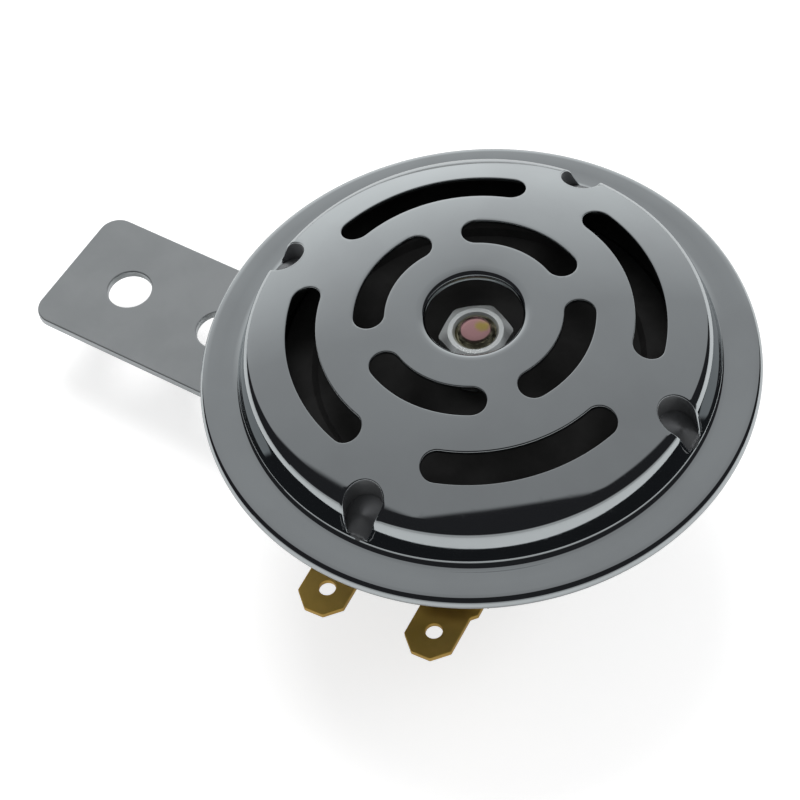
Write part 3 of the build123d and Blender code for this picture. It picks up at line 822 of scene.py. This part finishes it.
nutSet = {
    "samples": 144,
    "slope": 0.55,            # fall of the chamfer outwards
    "easedCorner": 0.12,
    "boreLip": 0.3,
    "sharp": 22.0,
    "front_nut": {"flats": 7.9, "bore": 2.5, "face": 0.85, "turn": 35.0},
    "rear_nut": {"flats": 10.0, "bore": 3.0, "face": 0.95, "turn": 12.0},
}


def hexNut(name):
    # hexagon nut, both faces chamfered round
    own = nutSet[name]
    low, high = heights(name)
    turn, sixth = math.radians(own["turn"]), math.tau / 6
    apothem = own["flats"] / 2
    faceRadius = apothem * own["face"]
    widest = apothem / math.cos(sixth / 2) - nutSet["easedCorner"]

    def hexagonRing(face, inward):
        def ring(angle):
            fromFlat = (angle - turn) % sixth - sixth / 2
            radius = min(apothem / math.cos(fromFlat), widest)
            fall = max(0.0, radius - faceRadius) * nutSet["slope"]
            return radius, face + inward * fall
        return ring

    lip, bore = nutSet["boreLip"], own["bore"]
    rings = [
        plainRing(bore, low + lip),
        plainRing(bore + lip, low),
        plainRing(faceRadius, low),
        hexagonRing(low, 1),
        hexagonRing(high, -1),
        plainRing(faceRadius, high),
        plainRing(bore + lip, high),
        plainRing(bore, high - lip),
    ]
    return shaded(name + "_turned", ringSolid(nutSet["samples"], turn, rings, closed=True), nutSet["sharp"])


# threaded studs, each turned in one with the iron behind it; root is where its thread starts
studSet = {
    "samples": 96,
    "rowHeight": 0.05,
    "threadDepth": 0.6,       # share of the pitch
    "tipRings": (0.66, 0.33, 0.02),
    "hub": 1.0,               # innermost ring of the plain end
    "ease": 0.3,
    "sharp": 30.0,
    "armature": {"pitch": 0.8, "thread": 2.5, "tip": 1.72, "tipFall": 0.5, "tipDome": 0.06,
                 "root": 3.75, "plate": 14.0, "plateHigh": 2.5, "neck": 4.5},
    "pole_core": {"pitch": 1.0, "thread": 3.0, "tip": 2.3, "tipFall": 0.7, "tipDome": 0.0,
                  "root": 10.4, "core": 6.2, "coreFrom": 11.1, "shoulder": 4.0},
}


def armatureOutline(own, low, high):
    # plate and neck as (radius, height) from the plate's underside to the thread's root
    hub, plate, ease, neck = studSet["hub"], own["plate"], studSet["ease"], own["neck"]
    top = low + own["plateHigh"]
    return [(hub, low), (plate - ease, low), (plate, low + ease), (plate, top - ease), (plate - ease, top),
            (neck, top), (neck, low + own["root"])]


def coreOutline(own, low, high):
    # core and shoulder as (radius, height) from the front face back to the thread's root
    hub, core, ease, shoulder = studSet["hub"], own["core"], studSet["ease"], own["shoulder"]
    back = low + own["coreFrom"]
    return [(hub, high), (core - ease, high), (core, high - ease), (core, back), (shoulder, back),
            (shoulder, low + own["root"])]


def threadedStud(name, outlineOf, forward):
    # forward is True where the stud's tip points to the front
    own = studSet[name]
    low, high = heights(name)
    outline = outlineOf(own, low, high)
    rootHeight = low + own["root"]
    tipHeight, toTip = (high, 1) if forward else (low, -1)
    endHeight = tipHeight - toTip * own["tipDome"]

    def threadRing(height):
        below = (tipHeight - height) * toTip - own["tipDome"]
        chamfer = own["tip"] + (own["thread"] - own["tip"]) * max(0.0, below) / own["tipFall"]
        fade = min(1.0, abs(height - rootHeight) / own["pitch"])

        def ring(angle):
            turns = (height / own["pitch"] - angle / math.tau) % 1.0
            depth = own["pitch"] * studSet["threadDepth"] * (1 - abs(2 * turns - 1))
            return min(own["thread"] - depth * fade, chamfer), height
        return ring

    rings = [plainRing(*point) for point in outline]
    rows = int(abs(tipHeight - rootHeight) / studSet["rowHeight"])
    for row in range(rows):
        rings.append(threadRing(rootHeight + (endHeight - rootHeight) * row / (rows - 1)))
    for share in studSet["tipRings"]:
        rings.append(plainRing(own["tip"] * share, tipHeight - toTip * own["tipDome"] * share ** 2))
    return shaded(name + "_turned", ringSolid(studSet["samples"], 0.0, rings), studSet["sharp"])


for node in ("front_nut", "rear_nut"):
    finished(node + "_turned", hexNut(node), node)
finished("armature_turned", threadedStud("armature", armatureOutline, True), "armature", "stud_passivated")
finished("pole_core_turned", threadedStud("pole_core", coreOutline, False), "pole_core")
print("nuts and studs made")


# floor, light and camera, in metres; lens and sensor in millimetres

studioSet = {
    "floorSize": 3.0,
    "floorGap": 0.0001,
    "floorShade": (0.55, 0.55, 0.55),
    "floorGlow": 0.64,
    "floorInGloss": 0.1,
    "whiteInGloss": 0.0,      # 1 for a plain white sky in gloss, 0 for the graded one
    "skyLevel": 0.55,
    "glossStops": (           # by the turn from straight ahead, 1 for half a turn
        (0.0, (0.95, 0.95, 0.95)),
        (0.10, (0.82, 0.82, 0.82)),
        (0.30, (0.36, 0.36, 0.365)),
        (0.45, (0.30, 0.30, 0.305)),
        (0.574, (0.29, 0.29, 0.295)),
        (0.581, (0.02, 0.02, 0.022)),
    ),
    "panelEdge": (0.527, 0.086, 0.683, 0.413),   # aside, skew, ahead, up: it ends where they balance
    "panelBlur": 0.02,
    "unlit": (0.02, 0.02, 0.022),
    "nearHorizon": (0.45, 0.45, 0.45),
    "horizonLean": 0.12,
    "horizonBlur": 0.12,
    "lookHeading": -51.35,    # direction of the look in the horn's plane, degrees
    "lookDown": 54.305,
    "roll": -8.661,
    "eye": (-0.16141, 0.14763, 0.26720),
    "lens": 113.98,
    "sensor": 36.0,
    "clipStart": 0.01,
}

lampSet = {                   # from the horn's axis: ahead along the look, off in x and y, and up
    "farLight": {"ahead": 0.45, "off": (0.0, 0.0), "up": 0.75, "size": 0.5, "power": 6.0},
    "sideLight": {"ahead": 0.0, "off": (-0.6, -0.5), "up": 0.6, "size": 0.4, "power": 2.5},
}

heading = math.radians(studioSet["lookHeading"])
lookFlat = Vector((math.cos(heading), math.sin(heading), 0))
lookSide = Vector((math.sin(heading), -math.cos(heading), 0))


def paleFloor():
    finish = Finish("paleFloor", Roughness=0.9, Base_Color=(*studioSet["floorShade"], 1.0))
    strength = studioSet["floorGlow"] * finish.notLighting(studioSet["floorInGloss"])
    glow = finish.node("ShaderNodeEmission", {}, {"Color": (1, 1, 1, 1), "Strength": strength})
    both = finish.node("ShaderNodeAddShader", {}, {0: Val(finish, finish.shader.outputs[0]), 1: glow})
    finish.link(both, finish.tree.nodes["Material Output"].inputs["Surface"])
    return finish.material


def studioSky():
    # even light for the surfaces; in gloss bright far ahead, grey overhead and dark behind
    own = studioSet
    world = bpy.data.worlds.new("studioSky")
    bpy.context.scene.world = world
    world.use_nodes = True
    web = Web(world.node_tree)
    direction = Val(web, web.coords.outputs["Generated"])
    height = direction.dot((0, 0, 1))
    ahead = direction.dot(lookFlat)
    turn = ahead.math("ARCCOSINE") / math.pi
    panel = web.node("ShaderNodeValToRGB", {"stops": own["glossStops"]}, {0: turn})
    aside, skew, forth, over = own["panelEdge"]
    sideways = direction.dot(lookSide)
    edge = ahead * forth + height * over - sideways.math("ABSOLUTE") * aside + sideways * skew
    shade = web.mix(edge.between(-own["panelBlur"], own["panelBlur"]), own["unlit"], panel)
    lower = (height * -1 - ahead * own["horizonLean"]).between(-own["horizonBlur"], 0.0)
    gloss = web.mix(lower * (ahead < 0.0), shade, own["nearHorizon"])
    lit = web.node("ShaderNodeBackground", {}, {"Color": (1, 1, 1, 1), "Strength": own["skyLevel"]})
    shown = web.node("ShaderNodeBackground", {}, {"Color": gloss, "Strength": 1.0})
    white = web.node("ShaderNodeBackground", {}, {"Color": (1, 1, 1, 1), "Strength": 1.0})
    glossy = web.node("ShaderNodeLightPath", {}, {}, out="Is Glossy Ray")
    graded = web.node("ShaderNodeMixShader", {}, {0: glossy, 1: lit, 2: shown})
    seenWhite = web.notLighting(own["whiteInGloss"])
    both = web.node("ShaderNodeMixShader", {}, {0: seenWhite, 1: graded, 2: white})
    web.link(both, web.tree.nodes["World Output"].inputs["Surface"])


def softbox(name, own):
    # a square light that faces the horn
    lamp = bpy.data.lights.new(name, "AREA")
    lamp.size = own["size"]
    lamp.energy = own["power"]
    thing = bpy.data.objects.new(name, lamp)
    bpy.context.scene.collection.objects.link(thing)
    offX, offY = own["off"]
    place = Vector((hornX + offX, offY, own["up"])) + lookFlat * own["ahead"]
    thing.location = place
    thing.rotation_euler = (Vector((hornX, 0, 0)) - place).to_track_quat("-Z", "Y").to_euler()
    thing.visible_glossy = False    # the sky alone is what the plating mirrors


def cameraPlace():
    # the eye, and the look down on the horn with its roll
    down, roll = math.radians(studioSet["lookDown"]), math.radians(studioSet["roll"])
    look = lookFlat * math.cos(down) - Vector((0, 0, math.sin(down)))
    upward = lookFlat * math.sin(down) + Vector((0, 0, math.cos(down)))
    right = lookSide * math.cos(roll) + upward * math.sin(roll)
    up = upward * math.cos(roll) - lookSide * math.sin(roll)
    turned = Matrix((right, up, -look)).transposed().to_4x4()
    return Matrix.Translation(studioSet["eye"]) @ turned


bm = bmesh.new()
bmesh.ops.create_grid(bm, x_segments=4, y_segments=4, size=studioSet["floorSize"])
bmesh.ops.translate(bm, vec=(hornX, 0, cadBox[0].z - studioSet["floorGap"]), verts=bm.verts)
floor = bpy.data.objects.new("floor", meshOf(bm, "floor"))
bpy.context.scene.collection.objects.link(floor)
floor.data.materials.append(paleFloor())

studioSky()
for name, own in lampSet.items():
    softbox(name, own)

scene = bpy.context.scene
scene.view_settings.view_transform = "Standard"
lens = bpy.data.cameras.new("camera")
lens.lens = studioSet["lens"]
lens.sensor_width = studioSet["sensor"]
lens.clip_start = studioSet["clipStart"]
camera = bpy.data.objects.new("camera", lens)
scene.collection.objects.link(camera)
camera.matrix_world = cameraPlace()
scene.camera = camera
print("camera and lights set")
